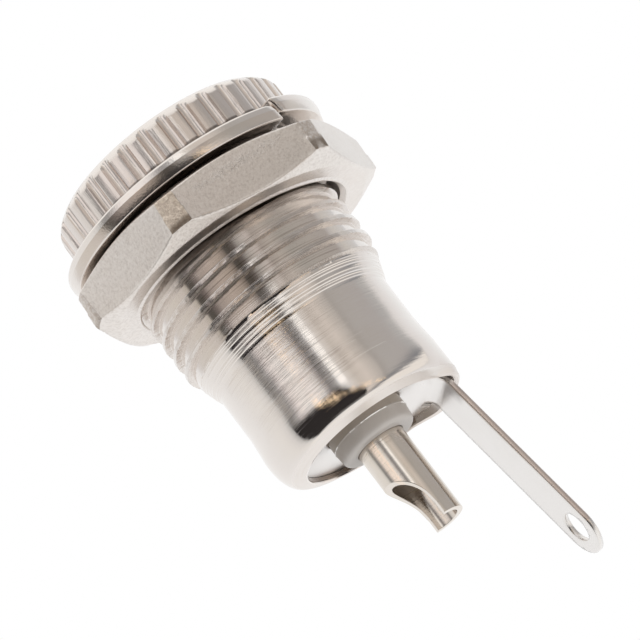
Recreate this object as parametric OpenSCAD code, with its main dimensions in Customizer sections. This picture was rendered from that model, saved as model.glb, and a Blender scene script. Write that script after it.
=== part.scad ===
// Panel-mount DC power jack: a turned metal shell with a knurled head and a panel thread,
// its split lock washer and hex nut, and a ground lug and a solder cup at the rear.
// The origin is the centre of the front face, and the axis runs along +Z to the solder side.
// The ground lug stands on the +X side, and the solder cup opens towards -X.

/* [Socket] */
// Outer diameter of the plug that the socket takes
plug_d = 5.5; // [5.2:0.1:5.8]
// Radial play of the plug in the guide bore
plug_play = 0.1; // [0.05:0.01:0.2]
// Length of the guide bore behind the front face
guide_len = 1.4; // [1:0.1:2]
// Chamfer at the socket's mouth
mouth_chamfer = 0.3; // [0.1:0.05:0.5]
// Depth from the front face to the insulator's nose
socket_depth = 9.4; // [9:0.1:10]
// Diameter of the centre pin inside the socket
pin_d = 2.1; // [1.9:0.05:2.5]
// Distance from the front face to the tip of the centre pin
pin_recess = 1; // [0.5:0.1:2]
// Diameter of the flat on the tip of the centre pin
pin_tip_d = 1; // [0.6:0.1:1.6]
// Length of the tapered tip of the centre pin
pin_tip_len = 0.5; // [0.3:0.05:0.8]

/* [Head] */
// Diameter over the ribs of the head
head_d = 13.7; // [13.2:0.1:15]
// Thickness of the head
head_len = 2.45; // [2:0.05:3]
// Width of the front chamfer, measured on the radius
head_chamfer_w = 0.62; // [0.4:0.02:0.8]
// Length of the front chamfer, measured along the axis
head_chamfer_len = 0.45; // [0.2:0.05:0.8]
// Number of grooves round the head
groove_count = 34; // [24:1:40]
// Radius of each half-round groove
groove_r = 0.32; // [0.2:0.02:0.4]
// Angle of the first groove, from the side of the ground lug
groove_turn = 5.85; // [0:0.05:15]

/* [Thread] */
// Major diameter of the panel thread
thread_d = 11.9; // [11.7:0.05:12.1]
// Pitch of the thread
thread_pitch = 1; // [0.75:0.25:1]
// Depth of the thread's grooves
thread_depth = 0.33; // [0.25:0.01:0.36]
// Width of the flat on each crest
crest_w = 0.45; // [0.2:0.05:0.45]
// Angle between the flanks of the thread
flank_angle = 60; // [55:1:62]
// Length of the undercut behind the head
relief_len = 0.8; // [0.4:0.1:1.2]
// Diameter of the undercut
relief_d = 10.6; // [10.2:0.1:11]
// Distance from the front face to the end of the thread
thread_end = 11; // [10.6:0.1:11.2]
// Diameter half way along the run-out behind the thread
runout_d = 10.96; // [10.7:0.02:11]
// Length of the run-out
runout_len = 1.4; // [1.2:0.1:1.6]

/* [Barrel] */
// Diameter of the plain barrel
barrel_d = 10.4; // [10.3:0.02:10.5]
// Distance from the front face to the start of the flared rim
flare_start = 15; // [14:0.1:15.8]
// Diameter of the flared rim
flare_d = 10.64; // [10.54:0.02:10.8]
// Distance from the front face to the start of the rolled edge
roll_start = 16.6; // [16.2:0.1:17]
// Distance from the front face to the crown of the rolled edge
rim_top = 18.17; // [18:0.01:18.6]
// Diameter of the crown of the rolled edge
crown_d = 9.4; // [9.2:0.05:9.6]
// Diameter of the opening inside the rolled lip
lip_d = 8; // [7.6:0.05:8.9]
// Height that the lip rises to above the crown
lip_rise = 0.22; // [0.05:0.01:0.24]
// Distance from the lug's plate to the crown
lip_t = 0.52; // [0.4:0.02:0.6]
// Round on the inner edge of the lip
lip_round = 0.1; // [0.05:0.01:0.15]
// Inner diameter of the rear chamber
chamber_d = 9.5; // [9.3:0.05:9.6]

/* [Lock washer] */
// Width of the split lock washer's section, measured on the radius
washer_w = 1.8; // [1.4:0.05:2.1]
// Radial play of the washer over the thread
washer_play = 0.1; // [0.05:0.01:0.3]
// Thickness of the washer
washer_t = 0.95; // [0.8:0.05:1.2]
// Height that the washer's free end springs up by
washer_lift = 0.37; // [0.2:0.01:0.6]
// Angle of the split, from the side of the ground lug
split_turn = 59; // [0:1:359]
// Width of the split, as an angle
split_gap = 1.2; // [0.5:0.1:4]
// Slant of the split, in degrees round the axis for each millimetre along it
split_slant = 3.7; // [0:0.1:6]
// Chamfer on the washer's edges
washer_chamfer = 0.13; // [0.05:0.01:0.2]

/* [Hex nut] */
// Width across the nut's flats
nut_af = 15.15; // [14.5:0.05:16]
// Diameter that the nut's corners are turned to
nut_corner_d = 17; // [16.7:0.05:17.2]
// Angle that the nut is turned by on its thread
nut_turn = 1; // [0:1:60]
// Length of the nut
nut_len = 3; // [2.8:0.05:4]
// Gap between the nut and the washer's raised end
nut_gap = 0.08; // [0.02:0.01:0.2]
// Diameter of the flat on the nut's front face
nut_front_d = 14.2; // [13.8:0.1:14.8]
// Length of the chamfer on the front corners
nut_front_chamfer = 0.6; // [0.4:0.05:0.9]
// Diameter of the flat on the nut's rear face
nut_rear_d = 14.9; // [14:0.02:15]
// Diameter of the foot of the low lip round the nut's thread
nut_lip_d = 12.94; // [12.8:0.02:13.4]
// Width of the lip's slope, measured on the radius
nut_lip_w = 0.17; // [0.08:0.01:0.17]
// Height of the lip above the rear face
nut_lip_h = 0.08; // [0.04:0.01:0.2]
// Length of the chamfer on the rear corners
nut_rear_chamfer = 0.55; // [0.3:0.05:0.9]
// Diameter of the countersinks at the ends of the nut's thread
countersink_d = 12.4; // [12.2:0.05:12.8]
// Radial play between the nut's thread and the shell's
thread_play = 0.08; // [0.04:0.01:0.1]

/* [Ground lug] */
// Thickness of the lug's sheet
lug_t = 0.3; // [0.2:0.02:0.4]
// Width of the lug's tab
lug_w = 3.15; // [2.6:0.05:3.6]
// Inner radius of the bend
bend_r = 1; // [0.8:0.05:1.1]
// Distance from the axis to the start of the bend
bend_start = 3.26; // [3.1:0.02:3.34]
// Angle by which the tab leans away from the axis
lug_splay = 8.05; // [0:0.05:15]
// Length of the tab from the end of the bend to the centre of its hole
tab_len = 9.82; // [6:0.02:14]
// Diameter of the wire hole
lug_hole_d = 1.8; // [1.2:0.05:2.2]
// Distance from the centre of the hole to the tip of the tab
hole_to_tip = 1.65; // [1.6:0.05:2.4]
// Play between the plate's edge and the rear chamber
plate_play = 0.1; // [0.05:0.01:0.2]
// Width of the slits beside the root of the tab
slit_w = 0.25; // [0.15:0.05:0.4]

/* [Insulator] */
// Length of the insulator's nose in the socket
nose_len = 0.6; // [0.4:0.1:1]
// Radial play of the insulator in the shell
insulator_play = 0.05; // [0.02:0.01:0.1]
// Diameter of the boss behind the plate
boss_d = 4.4; // [4:0.05:4.8]
// Length of the boss behind the plate
boss_len = 1.42; // [1:0.02:2]
// Narrowing of the boss towards its end, on the diameter
boss_draft = 0.16; // [0:0.02:0.3]
// Round at the end of the boss
boss_round = 0.25; // [0.1:0.05:0.4]
// Distance from the plate to the moulding's parting line
parting_height = 0.55; // [0.4:0.05:0.8]
// Height of the parting line's flash over the boss
flash_h = 0.05; // [0.02:0.01:0.08]
// Width of the flash
flash_w = 0.06; // [0.04:0.01:0.1]
// Radial play between the boss and the plate's hole
boss_play = 0.08; // [0.02:0.01:0.15]

/* [Centre pin] */
// Diameter of the solder terminal
cup_d = 2.7; // [2.5:0.05:3]
// Bore of the solder cup
cup_bore_d = 2; // [1.7:0.05:2.2]
// Depth of the solder cup's bore
cup_depth = 4.3; // [4:0.1:4.6]
// Angle of the drill point at the bottom of the bore
drill_angle = 118; // [90:1:130]
// Length of the solder terminal behind the boss
cup_len = 5.2; // [4.8:0.05:7]
// Length of the scoop cut out of the cup's wall
scoop_len = 3.03; // [2.6:0.01:3.4]
// Radius of the scoop's curved end
scoop_r = 2.6; // [1.6:0.05:2.8]
// Diameter of the collar that locks the pin in the insulator
collar_d = 3.5; // [3.2:0.1:3.8]
// Length of the collar
collar_len = 1.6; // [1:0.1:2.4]
// Distance from the nose to the pin's shoulder
shoulder_depth = 1.6; // [1.2:0.1:2.2]
// Distance from the shoulder to the collar
collar_offset = 1.2; // [0.8:0.1:1.8]
// Radial play of the pin in the insulator
pin_play = 0.02; // [0.01:0.01:0.05]

/* [Contact spring] */
// Thickness of the contact sleeve's sheet
spring_t = 0.2; // [0.15:0.01:0.25]
// Radial space between the guide bore and the inside of the sleeve
spring_space = 0.15; // [0.1:0.01:0.25]
// Radial play of the sleeve in the shell
spring_play = 0.05; // [0.02:0.01:0.08]
// Number of spring leaves
leaf_count = 3; // [2:1:4]
// Width of each leaf, as an angle
leaf_angle = 40; // [20:1:50]
// Depth by which the leaves grip the plug
leaf_grip = 0.1; // [0:0.01:0.15]
// Length of each leaf
leaf_len = 4.6; // [3.5:0.1:5]
// Distance from each leaf's root to the belly that grips the plug
leaf_belly = 3.2; // [2.4:0.1:3.3]
// Gap round each leaf
leaf_gap = 0.3; // [0.2:0.05:0.5]
// Distance from the sleeve's rear end to the leaves' roots
leaf_root = 1.5; // [1:0.1:2]
// Width of the slit along the sleeve
sleeve_slit = 0.8; // [0.4:0.1:1.2]

/* [Hidden] */

$fn = 96;
// Overrun of a cutter past the surface that it opens
over = 1;

// Socket and contact sleeve
guide_r = plug_d / 2 + plug_play;
sleeve_in_r = guide_r + spring_space;
sleeve_out_r = sleeve_in_r + spring_t;
socket_r = sleeve_out_r + spring_play;
// The leaves are thinned a little where they run into the sleeve
root_step = spring_t / 8;

// Head and thread
head_r = head_d / 2;
thread_r = thread_d / 2;
root_r = thread_r - thread_depth;
relief_r = relief_d / 2;
flank_w = thread_depth * tan(flank_angle / 2);
thread_start = head_len + relief_len;
turns = floor((thread_end - thread_start) / thread_pitch);
first_turn = thread_end - turns * thread_pitch;

// Rear chamber, rolled edge and what they hold
chamber_r = chamber_d / 2;
barrel_r = barrel_d / 2;
flare_r = flare_d / 2;
crown_r = crown_d / 2;
lip_r = lip_d / 2;
lip_top = rim_top + lip_rise;
plate_top = rim_top - lip_t;
plate_z = plate_top - lug_t;
flange_z = socket_depth + nose_len;
barrel_z = thread_end + runout_len;
runout_bulge_z = thread_end + runout_len / 2;
roll_step = 10;
// The roll stops short of a quarter turn, where the lip starts to rise
roll_end = 80;
round_step = 15;

// Washer and nut
washer_in_r = thread_r + washer_play;
washer_out_r = washer_in_r + washer_w;
washer_stations = 90;
// How late the washer starts to rise: 1 is an even helix
washer_rise = 3;
nut_z = head_len + washer_t + washer_lift + nut_gap;
nut_top = nut_z + nut_len;

// Insulator and pin
insulator_r = chamber_r - insulator_play;
nose_r = socket_r - insulator_play;
boss_r = boss_d / 2;
boss_top = plate_top + boss_len;
boss_end_r = boss_r - boss_draft / 2;
pin_r = pin_d / 2;
cup_r = cup_d / 2;
cup_end = boss_top + cup_len;
shoulder_z = socket_depth + shoulder_depth;
collar_z = shoulder_z + collar_offset;
scoop_z = cup_end - scoop_len + sqrt(pow(scoop_r, 2) - pow(scoop_r - cup_r, 2));

// Lug: the bend turns the plate up into the tab
bend_z = plate_top + bend_r;
bend_angle = 90 - lug_splay;
tip_r = lug_w / 2;

// Grooved outline of the thread, pushed out by grow
function thread_rings(grow) = [
    for (i = [0 : turns - 1]) let (z = first_turn + i * thread_pitch) each [
        [root_r + grow, z],
        [thread_r + grow, z + flank_w],
        [thread_r + grow, z + flank_w + crest_w],
        [root_r + grow, z + 2 * flank_w + crest_w]
    ]
];

// Part of an oval from the flared rim to the crown
function rolled_edge() = [
    for (a = [0 : roll_step : roll_end])
        [crown_r + (flare_r - crown_r) * cos(a), roll_start + (rim_top - roll_start) * sin(a)]
];

function shell_outline() = concat(
    [
        [guide_r, mouth_chamfer],
        [guide_r + mouth_chamfer, 0],
        [head_r - head_chamfer_w, 0],
        [head_r, head_chamfer_len],
        [head_r, head_len],
        [relief_r, head_len],
        [relief_r, thread_start]
    ],
    thread_rings(0),
    [
        [runout_d / 2, runout_bulge_z],
        [barrel_r, barrel_z],
        [barrel_r, flare_start]
    ],
    rolled_edge(),
    [
        [lip_r + lip_round, lip_top],
        [lip_r, lip_top - lip_round],
        [lip_r, plate_top],
        [chamber_r, plate_top],
        [chamber_r, flange_z],
        [socket_r, flange_z],
        [socket_r, guide_len],
        [guide_r, guide_len]
    ]
);

module head_grooves() {
    for (i = [0 : groove_count - 1])
        rotate(groove_turn + i * 360 / groove_count)
            translate([head_r, 0, -over])
                cylinder(r = groove_r, h = head_len + 2 * over);
}

// Gap in the rolled lip where the lug's tab comes out
module lip_gap() {
    intersection() {
        translate([0, 0, plate_top]) cylinder(r = chamber_r, h = lip_t + lip_rise + over);
        translate([0, -lug_w / 2 - slit_w, plate_top])
            cube([chamber_r + over, lug_w + 2 * slit_w, lip_t + lip_rise + over]);
    }
}

module shell() {
    color("silver") difference() {
        rotate_extrude() polygon(shell_outline());
        head_grooves();
        lip_gap();
    }
}

// Section of the washer: radius, height above its lower face, with chamfered edges
washer_section = let (c = washer_chamfer, a = washer_in_r, b = washer_out_r, t = washer_t) [
    [a + c, 0], [b - c, 0], [b, c], [b, t - c], [b - c, t], [a + c, t], [a, t - c], [a, c]
];

// The washer lies on the head and rises towards its free end, and its ends are cut on the slant
function washer_point(s, p) =
    let (
        turn = split_turn - split_gap / 2 - s * (360 - split_gap),
        angle = turn - split_slant * (p[1] - washer_t / 2)
    )
    [p[0] * cos(angle), p[0] * sin(angle), head_len + washer_lift * pow(s, washer_rise) + p[1]];

module lock_washer() {
    n = len(washer_section);
    m = washer_stations;
    points = [for (k = [0 : m]) for (p = washer_section) washer_point(k / m, p)];
    sides = [
        for (k = [0 : m - 1]) for (j = [0 : n - 1])
            let (a = k * n + j, b = k * n + (j + 1) % n) each [[a, b, b + n], [a, b + n, a + n]]
    ];
    first_end = [for (j = [n - 1 : -1 : 0]) j];
    last_end = [for (j = [0 : n - 1]) m * n + j];
    color("lightgray") polyhedron(points = points, faces = concat([first_end, last_end], sides));
}

module nut_thread() {
    translate([0, 0, nut_z - over]) cylinder(r = root_r + thread_play, h = nut_len + 2 * over);
    rotate_extrude()
        polygon(concat(
            [[0, first_turn]],
            thread_rings(thread_play),
            [[0, first_turn + turns * thread_pitch]]
        ));
    sink = countersink_d / 2 - root_r;
    translate([0, 0, nut_z]) cylinder(r1 = countersink_d / 2, r2 = root_r, h = sink);
    translate([0, 0, nut_top - sink]) cylinder(r1 = root_r, r2 = countersink_d / 2, h = sink);
}

module hex_nut() {
    lip_foot_r = nut_lip_d / 2;
    corner_r = nut_corner_d / 2;
    face_z = nut_top - nut_lip_h;
    color("silver") difference() {
        intersection() {
            translate([0, 0, nut_z]) rotate(nut_turn)
                cylinder(r = nut_af / 2 / cos(30), h = nut_len, $fn = 6);
            rotate_extrude() polygon([
                [0, nut_z],
                [nut_front_d / 2, nut_z],
                [corner_r, nut_z + nut_front_chamfer],
                [corner_r, face_z - nut_rear_chamfer],
                [nut_rear_d / 2, face_z],
                [lip_foot_r, face_z],
                [lip_foot_r - nut_lip_w, nut_top],
                [0, nut_top]
            ]);
        }
        nut_thread();
    }
}

// Tab with its round end and wire hole, flat on the ground at the bend's end
module lug_tab() {
    tip_start = tab_len + hole_to_tip - tip_r;
    linear_extrude(lug_t) difference() {
        union() {
            translate([0, -lug_w / 2]) square([tip_start, lug_w]);
            translate([tip_start, 0]) circle(tip_r);
        }
        translate([tab_len, 0]) circle(lug_hole_d / 2);
    }
}

module lug_bend() {
    rotate([90, 0, 0])
        translate([0, 0, -lug_w / 2])
            rotate(-90)
                rotate_extrude(angle = bend_angle)
                    translate([bend_r, 0]) square([lug_t, lug_w]);
}

module lug_plate() {
    plate_r = chamber_r - plate_play;
    translate([0, 0, plate_z]) linear_extrude(lug_t) difference() {
        circle(plate_r);
        circle(boss_r + boss_play);
        translate([bend_start, -lug_w / 2 - slit_w]) square([plate_r, lug_w + 2 * slit_w]);
    }
}

module ground_lug() {
    color("gainsboro") union() {
        lug_plate();
        translate([bend_start, 0, bend_z]) {
            lug_bend();
            rotate([0, -bend_angle, 0]) translate([0, 0, -bend_r - lug_t]) lug_tab();
        }
    }
}

// Outline of the whole pin without its cup, pushed out by grow
function pin_outline(grow) = [
    [0, pin_recess],
    [pin_tip_d / 2 + grow, pin_recess],
    [pin_r + grow, pin_recess + pin_tip_len],
    [pin_r + grow, shoulder_z - grow],
    [cup_r + grow, shoulder_z - grow],
    [cup_r + grow, collar_z - grow],
    [collar_d / 2 + grow, collar_z - grow],
    [collar_d / 2 + grow, collar_z + collar_len + grow],
    [cup_r + grow, collar_z + collar_len + grow],
    [cup_r + grow, cup_end],
    [0, cup_end]
];

module solder_cup_cut() {
    bore_r = cup_bore_d / 2;
    point_len = bore_r / tan(drill_angle / 2);
    rotate_extrude() polygon([
        [0, cup_end - cup_depth - point_len],
        [bore_r, cup_end - cup_depth],
        [bore_r, cup_end + over],
        [0, cup_end + over]
    ]);
    translate([-scoop_r, 0, scoop_z]) rotate([90, 0, 0])
        translate([0, 0, -cup_r - over]) cylinder(r = scoop_r, h = cup_d + 2 * over);
    translate([-cup_r - over, -cup_r - over, scoop_z])
        cube([cup_r + over, cup_d + 2 * over, cup_end - scoop_z + over]);
}

module centre_pin() {
    color("lightgoldenrodyellow") difference() {
        rotate_extrude() polygon(pin_outline(0));
        solder_cup_cut();
    }
}

module rear_insulator() {
    parting_z = plate_top + parting_height;
    color("ivory") difference() {
        rotate_extrude() polygon(concat(
            [
                [0, socket_depth],
                [nose_r, socket_depth],
                [nose_r, flange_z],
                [insulator_r, flange_z],
                [insulator_r, plate_z],
                [boss_r, plate_z],
                [boss_r, parting_z],
                [boss_r + flash_h, parting_z],
                [boss_r + flash_h, parting_z + flash_w],
                [boss_r, parting_z + flash_w]
            ],
            [
                for (a = [0 : round_step : 90])
                    [
                        boss_end_r - boss_round * (1 - cos(a)),
                        boss_top - boss_round * (1 - sin(a))
                    ]
            ],
            [[0, boss_top]]
        ));
        rotate_extrude() polygon(pin_outline(pin_play));
    }
}

// One leaf, bent in to grip the plug and out again at its free tip
module spring_leaf(root_z) {
    belly_r = plug_d / 2 - leaf_grip;
    belly_z = root_z - leaf_belly;
    tip_z = root_z - leaf_len;
    root_in_r = sleeve_in_r + root_step;
    root_out_r = sleeve_out_r - root_step;
    rotate(-leaf_angle / 2) rotate_extrude(angle = leaf_angle) polygon([
        [root_in_r, root_z + leaf_root / 2],
        [root_in_r, root_z],
        [belly_r, belly_z],
        [sleeve_in_r, tip_z],
        [sleeve_out_r, tip_z],
        [belly_r + spring_t, belly_z],
        [root_out_r, root_z],
        [root_out_r, root_z + leaf_root / 2]
    ]);
}

module leaf_window(root_z) {
    gap_angle = leaf_angle + 2 * leaf_gap / sleeve_out_r * 180 / PI;
    rotate(-gap_angle / 2) rotate_extrude(angle = gap_angle)
        translate([sleeve_in_r - over / 2, root_z - leaf_len - leaf_gap])
            square([spring_t + over, leaf_len + leaf_gap]);
}

module contact_spring() {
    sleeve_len = socket_depth - guide_len;
    root_z = socket_depth - leaf_root;
    color("khaki") union() {
        difference() {
            translate([0, 0, guide_len]) cylinder(r = sleeve_out_r, h = sleeve_len);
            translate([0, 0, guide_len - over]) cylinder(r = sleeve_in_r, h = sleeve_len + 2 * over);
            translate([0, -sleeve_slit / 2, guide_len - over])
                cube([sleeve_out_r + over, sleeve_slit, sleeve_len + 2 * over]);
            for (i = [0 : leaf_count - 1])
                rotate(180 / leaf_count + i * 360 / leaf_count) leaf_window(root_z);
        }
        for (i = [0 : leaf_count - 1])
            rotate(180 / leaf_count + i * 360 / leaf_count) spring_leaf(root_z);
    }
}

shell();
lock_washer();
hex_nut();
ground_lug();
rear_insulator();
centre_pin();
contact_spring();
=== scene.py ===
# %% [markdown]
# # A DC barrel jack in nickel-plated metal
# The jack is a turned shell with a knurled head and a panel thread, and it carries a split lock
# washer and a hex nut. At the solder side a stamped ground lug and a solder cup come out of a
# rolled rim. The solids of the frame hold the true sizes, so each piece here is drawn at the same
# place, only finer: a real helix, rounded edges, wear and tool marks.

# %% Load the frame
import math

import bmesh
import bpy
import numpy as np
from mathutils import Matrix, Vector, geometry, noise


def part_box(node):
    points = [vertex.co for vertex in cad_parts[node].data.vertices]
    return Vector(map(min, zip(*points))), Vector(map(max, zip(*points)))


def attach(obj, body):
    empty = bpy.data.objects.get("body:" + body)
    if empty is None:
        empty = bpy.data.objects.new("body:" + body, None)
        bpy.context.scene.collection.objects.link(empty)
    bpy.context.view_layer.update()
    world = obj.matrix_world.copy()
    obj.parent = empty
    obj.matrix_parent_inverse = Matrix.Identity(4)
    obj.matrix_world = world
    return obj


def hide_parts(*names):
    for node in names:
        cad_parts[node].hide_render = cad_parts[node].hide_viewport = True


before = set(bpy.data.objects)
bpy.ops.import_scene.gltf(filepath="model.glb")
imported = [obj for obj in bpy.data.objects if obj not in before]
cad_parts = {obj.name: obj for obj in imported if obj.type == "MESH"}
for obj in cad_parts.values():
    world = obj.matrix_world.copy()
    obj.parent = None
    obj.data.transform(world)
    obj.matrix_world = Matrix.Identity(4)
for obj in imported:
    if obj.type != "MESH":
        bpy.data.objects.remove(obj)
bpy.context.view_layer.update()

# %% [markdown]
# ## Units and the sizes that the frame gives
# The frame is in metres and the jack is only 30 mm long, so lengths are written in millimetres
# and scaled once, where a mesh is made. Sizes that several pieces share are read from the boxes
# of the solids, and the rest are named here, because they belong to finer shapes.

# %% Shared sizes, in millimetres
MM = 0.001


def corners(node):
    """Lowest and highest corner of a solid, in millimetres."""
    low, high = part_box(node)
    return np.array(low) / MM, np.array(high) / MM


def placed(name, data):
    """A new object in the scene."""
    made = bpy.data.objects.new(name, data)
    bpy.context.scene.collection.objects.link(made)
    return made


shell_high = corners("shell")[1]
washer_low, washer_high = corners("lock_washer")
nut_low, nut_high = corners("hex_nut")
boss_low, boss_high = corners("rear_insulator")
pin_low, pin_high = corners("centre_pin")

head_r = shell_high[1]
lip_top = shell_high[2]
head_len = washer_low[2]
nut_front, nut_rear = nut_low[2], nut_high[2]
boss_top = boss_high[2]
cup_end = pin_high[2]
print("head radius", round(head_r, 2), "lip", round(lip_top, 2), "cup end", round(cup_end, 2))

# %% [markdown]
# ## Camera
# The jack is seen from its solder side, a little from above, with a long lens, and the camera is
# rolled so that the axis runs down to the right. The camera is set by four plain things: the point
# it aims at, the direction it looks from, its distance and its roll.

# %% Camera
aim = Vector((2.39, -2.6, 11.0)) * MM
look_from = math.radians(110.5)
look_down = math.radians(16.57)
distance = 326.95 * MM
roll = math.radians(142.69)

back = Vector((
    math.cos(look_down) * math.cos(look_from),
    math.cos(look_down) * math.sin(look_from),
    math.sin(look_down),
))
level_right = Vector((0, 0, 1)).cross(back).normalized()
level_up = back.cross(level_right)
right = math.cos(roll) * level_right + math.sin(roll) * level_up
up = back.cross(right)

camera_data = bpy.data.cameras.new("camera")
camera_data.sensor_width = 36
camera_data.lens = 358.2
camera_data.clip_start = 0.01
camera_data.clip_end = 10
camera = placed("camera", camera_data)
turned = Matrix((right, up, back)).transposed().to_4x4()
camera.matrix_world = Matrix.Translation(aim + back * distance) @ turned
bpy.context.scene.camera = camera
bpy.context.scene.view_settings.view_transform = "Standard"
print("camera at", [round(c / MM, 1) for c in camera.location], "mm")

# %% [markdown]
# ## Shader sums written as Python
# A node tree is easier to read as arithmetic. A Wire is one output socket; adding, multiplying or
# comparing wires adds the Math nodes. Everything else, such as a noise or a ramp, comes from one
# method of the tree, which takes the node's type, its settings and what goes into its sockets.


# %% Wire and Tree
class Wire:
    """One output socket of a node, which can be used in sums."""

    def __init__(self, tree, socket):
        self.tree = tree
        self.socket = socket

    def output(self, name):
        """Another output of the same node, by its name or number."""
        return Wire(self.tree, self.socket.node.outputs[name])

    def math(self, operation, *others):
        """The Math node that has this wire, and then the others, at its inputs."""
        inputs = dict(enumerate((self,) + others))
        return self.tree.node("ShaderNodeMath", {"operation": operation}, inputs)

    def __add__(self, other):
        return self.math("ADD", other)

    def __sub__(self, other):
        return self.math("SUBTRACT", other)

    def __rsub__(self, other):
        return self.tree.node("ShaderNodeMath", {"operation": "SUBTRACT"}, {0: other, 1: self})

    def __mul__(self, other):
        return self.math("MULTIPLY", other)

    def __truediv__(self, other):
        return self.math("DIVIDE", other)

    def __pow__(self, other):
        return self.math("POWER", other)

    __radd__ = __add__
    __rmul__ = __mul__

    def above(self, low, high):
        """0 up to low, 1 from high, and a smooth step between."""
        settings = {"interpolation_type": "SMOOTHSTEP"}
        inputs = {"Value": self, "From Min": low, "From Max": high}
        return self.tree.node("ShaderNodeMapRange", settings, inputs)

    def between(self, low, high, soft):
        """1 from low to high, fading to 0 over soft on both sides."""
        return self.above(low - soft, low + soft) * (1 - self.above(high - soft, high + soft))


class Tree:
    """A node tree that is filled by calls, each giving back a Wire."""

    def __init__(self, tree):
        self.tree = tree
        tree.nodes.clear()

    def node(self, kind, settings=None, inputs=None, output=0):
        made = self.tree.nodes.new(kind)
        for name, value in (settings or {}).items():
            if name == "stops":
                self.set_stops(made.color_ramp, value)
            else:
                setattr(made, name, value)
        for name, value in (inputs or {}).items():
            if isinstance(value, Wire):
                self.tree.links.new(value.socket, made.inputs[name])
            else:
                made.inputs[name].default_value = value
        return Wire(self, made.outputs[output]) if made.outputs else None

    @staticmethod
    def set_stops(ramp, stops):
        while len(ramp.elements) < len(stops):
            ramp.elements.new(1.0)
        for element, (place, colour) in zip(ramp.elements, stops):
            element.position = place
            element.color = tuple(colour) + (1,)

    def parts(self, place):
        """x, y and z of a place, and its angle round the axis in degrees."""
        x = self.node("ShaderNodeSeparateXYZ", {}, {0: place})
        y, z = x.output(1), x.output(2)
        return x, y, z, y.math("ARCTAN2", x) * (180 / math.pi)

    def mix(self, factor, first, second):
        """Colour between first and second."""
        inputs = {0: factor, 6: rgba(first), 7: rgba(second)}
        return self.node("ShaderNodeMix", {"data_type": "RGBA"}, inputs, output=2)

    def layered(self, colour, *layers):
        """The colour under layers, each given by its share and its own colour."""
        for share, layer in layers:
            colour = self.mix(share, colour, layer)
        return colour


def rgba(colour):
    """A colour as a socket takes it: a wire stays, and three numbers get an alpha."""
    return colour if isinstance(colour, Wire) else tuple(colour) + (1,)


def ring(first, span, rows):
    """Stops of a colour ramp that covers span degrees, from rows of degrees, red, green, blue."""
    return [((degrees - first) / span, colour) for degrees, *colour in rows]


print("shader helpers ready")

# %% [markdown]
# ## Studio
# Bare metal has no colour of its own: it shows the room. The room here is a white tent with a grey
# card on one side and two dark stands. Above them is a dark booth behind the viewer, with one
# slanting ray of lamp light across it. Only mirror-like rays see that pattern. The eye sees plain
# white, and diffuse light is plain too, so that plastic keeps its colour. The tent is a function of
# direction, so it has no size and needs no object.

# %% World
world = bpy.data.worlds.new("studio")
world.use_nodes = True
bpy.context.scene.world = world
studio = Tree(world.node_tree)

ray = studio.node("ShaderNodeTexCoord", output=0)
rise, bearing = studio.parts(ray)[2:]
height = rise.math("ARCSINE") * (180 / math.pi)

tent = studio.node("ShaderNodeValToRGB", {"stops": ring(-180, 360, [
    (-180, 0.34, 0.34, 0.34),
    (-176, 0.64, 0.64, 0.63),
    (-171, 0.80, 0.79, 0.78),
    (-160, 0.88, 0.87, 0.85),
    (-130, 0.91, 0.91, 0.91),
    (-60, 1.0, 1.0, 1.0),
    (-35, 0.93, 0.95, 0.96),
    (-20, 0.88, 0.88, 0.89),
    (-8, 0.83, 0.82, 0.82),
    (-5, 0.76, 0.75, 0.75),
    (1, 0.54, 0.54, 0.54),
    (8, 0.48, 0.48, 0.48),
    (20, 0.47, 0.455, 0.45),
    (50, 0.47, 0.455, 0.44),
    (58, 0.43, 0.41, 0.39),
    (62, 0.54, 0.51, 0.48),
    (77, 0.73, 0.67, 0.62),
    (88, 0.65, 0.60, 0.55),
    (94, 0.74, 0.70, 0.66),
    (101, 0.88, 0.87, 0.86),
    (106, 0.68, 0.68, 0.68),
    (111, 0.42, 0.41, 0.41),
    (117, 0.28, 0.27, 0.27),
    (121, 0.46, 0.44, 0.44),
    (126, 0.80, 0.78, 0.77),
    (134, 0.98, 0.94, 0.93),
    (150, 1.0, 0.97, 0.95),
    (158, 1.0, 0.95, 0.93),
    (162, 0.86, 0.81, 0.80),
    (169, 0.46, 0.45, 0.45),
    (176, 0.28, 0.27, 0.26),
    (180, 0.30, 0.30, 0.30),
])}, {0: (bearing + 180) / 360})

# The grey card, and the dark edge of its lower half
over_card = height - (bearing - 2) * 0.75
card_side = bearing.between(-6, 84, 2)
open_side = card_side * over_card.above(-2, 4)
card_edge = card_side * over_card.above(-24, -4) * height.above(-14, -2) * 0.75

# The bright gap between the stands, low down
streak = bearing.between(98, 106, 2) * (1 - height.above(-12, -4))

# The booth, with the ray of lamp light that rises across it and breaks up here and there
booth_edge = (112 - bearing).math("MAXIMUM", 0) * 1.1 - 8
booth = bearing.between(84, 181, 1.5) * (height - booth_edge).above(-2, 2)
flicker = studio.node("ShaderNodeTexNoise", {}, {"Vector": ray, "Scale": 9.0, "Detail": 3.0})
off_ray = (height + 8 - (143 - bearing) * 0.44).math("ABSOLUTE")
ray_width = (flicker - 0.36).math("MAXIMUM", 0) * (6 + bearing.above(105, 120) * 10)
gold_ray = (1 - (off_ray - ray_width).above(-1, 1)) * bearing.between(56, 143, 3)

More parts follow.
